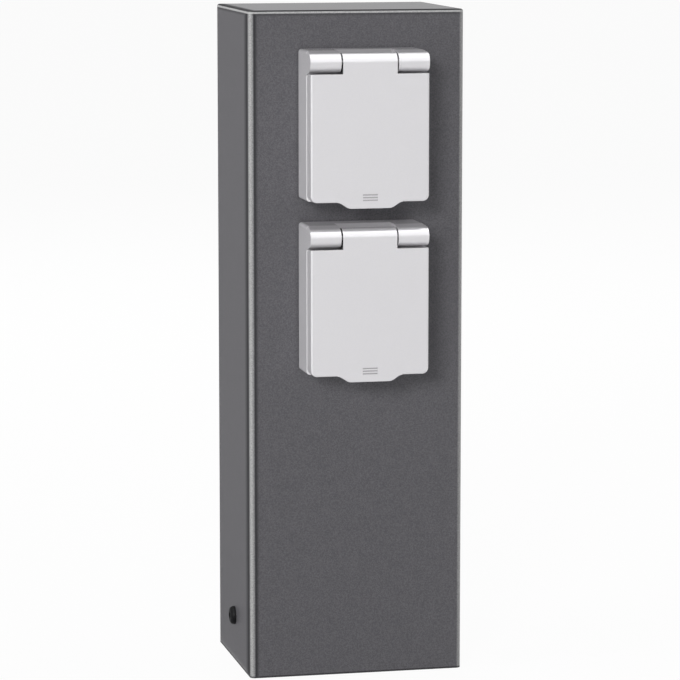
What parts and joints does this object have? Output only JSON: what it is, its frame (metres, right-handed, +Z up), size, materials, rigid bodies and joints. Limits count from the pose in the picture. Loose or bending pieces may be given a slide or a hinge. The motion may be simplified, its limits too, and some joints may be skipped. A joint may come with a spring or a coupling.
{
  "type": "garden socket post",
  "caption": "Dark rectangular garden post that brings mains power outdoors, with sprung hinged-lid outlets stacked on its upper front and a hidden ground bracket held by side screws.",
  "frame": {"origin": "on the ground under the middle of the hood, at the centre of the anchor holes", "axes": "+Z up, -Y towards the front that carries the outlets, X across the front"},
  "size_m": [0.1466, 0.148, 0.43],
  "materials": {
    "anthracite_coat": "fine textured powder coat, satin",
    "silver_plastic": "silver grey, satin",
    "cup_plastic": "silver grey, satin",
    "black_steel": "black, satin",
    "zinc_steel": "zinc plated",
    "bright_steel": "plated",
    "brass": "plain",
    "pale_plastic": "plain",
    "brown_sheath": "plain",
    "blue_sheath": "plain",
    "green_sheath": "plain",
    "black_rubber": "matt"
  },
  "bodies": {
    "post": {"post_housing": "anthracite_coat", "base_bracket": "zinc_steel", "insert_nuts": "bright_steel", "housing_screws": "black_steel", "terminal_block": "pale_plastic", "clamp_screws": "brass", "block_screws": "bright_steel", "earth_bolt": "bright_steel", "earth_nut": "brass", "line_wires": "brown_sheath", "neutral_wires": "blue_sheath", "earth_wires": "green_sheath", "upper_gasket": "black_rubber", "upper_frame": "silver_plastic", "upper_frame_screws": "bright_steel", "upper_mounting_plate": "zinc_steel", "upper_cup": "cup_plastic", "upper_centre_screw": "bright_steel", "upper_earth_strap": "bright_steel", "upper_sleeves": "brass", "upper_carrier": "pale_plastic", "upper_carrier_screws": "brass", "upper_hinge_pin": "bright_steel", "upper_lid_spring": "bright_steel", "lower_gasket": "black_rubber", "lower_frame": "silver_plastic", "lower_frame_screws": "bright_steel", "lower_mounting_plate": "zinc_steel", "lower_cup": "cup_plastic", "lower_centre_screw": "bright_steel", "lower_earth_strap": "bright_steel", "lower_sleeves": "brass", "lower_carrier": "pale_plastic", "lower_carrier_screws": "brass", "lower_hinge_pin": "bright_steel", "lower_lid_spring": "bright_steel"},
    "upper_cover": {"upper_lid": "silver_plastic", "upper_lid_seal": "black_rubber"},
    "lower_cover": {"lower_lid": "silver_plastic", "lower_lid_seal": "black_rubber"}
  },
  "joints": [
    {"name": "upper_lid_hinge", "type": "hinge", "parent": "post", "child": "upper_cover", "pos_m": [0, -0.087, 0.3987], "axis": [-1, 0, 0], "range_deg": [0, 105], "stiffness_Nm_per_rad": 0.02, "springref_deg": -51.57, "deforming": ["upper_lid_spring"]},
    {"name": "lower_lid_hinge", "type": "hinge", "parent": "post", "child": "lower_cover", "pos_m": [0, -0.087, 0.2887], "axis": [-1, 0, 0], "range_deg": [0, 105], "stiffness_Nm_per_rad": 0.02, "springref_deg": -51.57, "deforming": ["lower_lid_spring"]}
  ]
}
